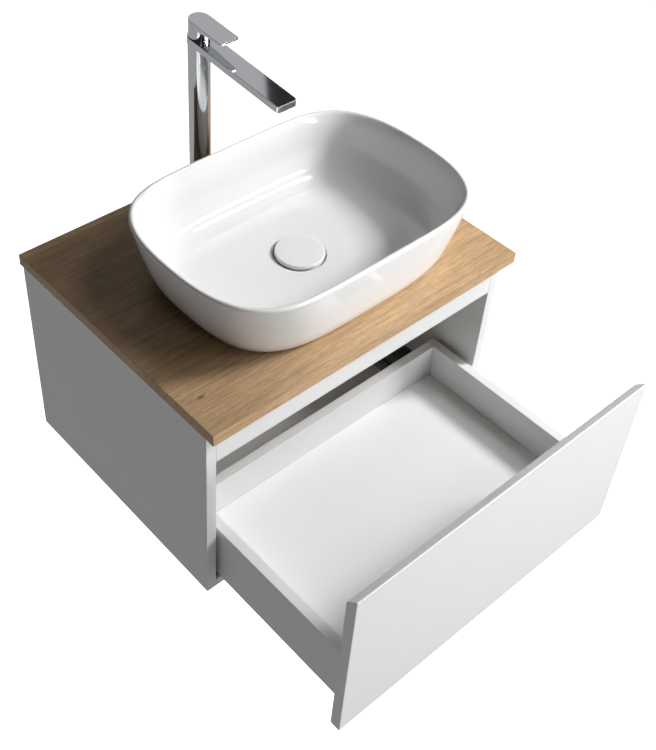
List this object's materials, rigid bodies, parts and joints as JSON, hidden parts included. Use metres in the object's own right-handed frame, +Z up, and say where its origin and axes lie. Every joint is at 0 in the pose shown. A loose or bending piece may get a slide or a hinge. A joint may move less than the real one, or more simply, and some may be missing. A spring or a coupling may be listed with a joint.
{
  "type": "vessel sink vanity",
  "caption": "Wall-hung vanity: oak-look worktop with a vessel basin and tall lever mixer over one wide, handleless soft-edged drawer.",
  "frame": {"origin": "middle of the rear face of the hanging rail, on the wall plane and on the cabinet's centre line", "axes": "+Z up, +X to the right seen from the front, +Y into the wall; the drawer opens towards -Y"},
  "size_m": [0.6, 0.743, 0.682],
  "materials": {
    "oak_laminate": "matt oak-print laminate on chipboard, grain along X, thin matching edging",
    "white_board": "white melamine-faced chipboard, satin",
    "white_lacquer": "white lacquered board, semi-gloss, softly rounded edges",
    "white_glaze": "white high-gloss glaze on vitreous china",
    "chrome": "polished chrome plate on brass",
    "zinc_plated_steel": "bright zinc-plated sheet steel",
    "brass": "turned brass, unplated",
    "black_rubber": "black moulded rubber",
    "white_plastic": "white moulded polypropylene",
    "grey_plastic": "grey moulded plastic"
  },
  "bodies": {
    "root": {"worktop": "oak_laminate", "worktop_edging_front": "oak_laminate", "worktop_edging_left": "oak_laminate", "worktop_edging_right": "oak_laminate", "side_panel_left": "white_board", "side_panel_right": "white_board", "bottom_panel": "white_board", "front_top_rail": "white_board", "hanging_rail": "white_board", "lower_back_rail": "white_board", "basin": "white_glaze", "waste_body": "chrome", "mixer_base_ring": "chrome", "mixer_body": "chrome", "cabinet_hanger_left": "zinc_plated_steel", "cabinet_hanger_right": "zinc_plated_steel", "worktop_cleat_left": "zinc_plated_steel", "worktop_cleat_right": "zinc_plated_steel", "runner_fixed_left": "zinc_plated_steel", "runner_fixed_right": "zinc_plated_steel", "waste_backnut": "brass", "mixer_shank": "brass", "mixer_shank_nut": "brass", "mixer_inlet_hot": "brass", "mixer_inlet_cold": "brass", "cartridge_nut": "brass", "waste_top_seal": "black_rubber", "waste_washer": "black_rubber", "mixer_gasket": "black_rubber", "mixer_washer": "black_rubber", "trap_inlet_pipe": "white_plastic", "trap_inlet_nut": "white_plastic", "trap_bottle": "white_plastic", "trap_bottle_nut": "white_plastic", "trap_cleanout_cup": "white_plastic", "trap_outlet_pipe": "white_plastic", "trap_wall_rosette": "white_plastic", "mixer_cartridge": "white_plastic", "mixer_aerator": "grey_plastic"},
    "drawer": {"drawer_front": "white_lacquer", "drawer_side_left": "white_board", "drawer_side_right": "white_board", "drawer_back": "white_board", "drawer_bottom": "white_board", "drawer_clip_left": "grey_plastic", "drawer_clip_right": "grey_plastic", "drawer_buffer_left": "black_rubber", "drawer_buffer_right": "black_rubber", "runner_drawer_left": "zinc_plated_steel", "runner_drawer_right": "zinc_plated_steel"},
    "runner_middle": {"runner_middle_left": "zinc_plated_steel", "runner_middle_right": "zinc_plated_steel"},
    "lever_hub": {"lever_hub": "chrome", "lever_plug": "grey_plastic", "lever_pivot_pin": "zinc_plated_steel"},
    "lever_paddle": {"lever_paddle": "chrome", "lever_stem": "zinc_plated_steel"},
    "waste_cap": {"waste_cap": "white_glaze", "waste_plunger": "chrome"}
  },
  "joints": [
    {"name": "drawer_slide", "type": "slide", "parent": "root", "child": "drawer", "axis": [0, -1, 0], "range_m": [-0.2735, 0.0765]},
    {"name": "runner_middle_slide", "type": "slide", "parent": "root", "child": "runner_middle", "axis": [0, -1, 0], "range_m": [-0.13675, 0.03825]},
    {"name": "lever_swivel", "type": "hinge", "parent": "root", "child": "lever_hub", "pos_m": [0.025, -0.029, 0.3303], "axis": [0, -0.0785, 0.9969], "range_deg": [-45, 45]},
    {"name": "lever_lift", "type": "hinge", "parent": "lever_hub", "child": "lever_paddle", "pos_m": [0.025, -0.02279, 0.35341], "axis": [-1, 0, 0], "range_deg": [0, 20]},
    {"name": "waste_cap_lift", "type": "slide", "parent": "root", "child": "waste_cap", "axis": [0, 0, 1], "range_m": [0, 0.008]}
  ],
  "couplings": [
    {"joint": "runner_middle_slide", "follows": "drawer_slide", "ratio": 0.5}
  ]
}
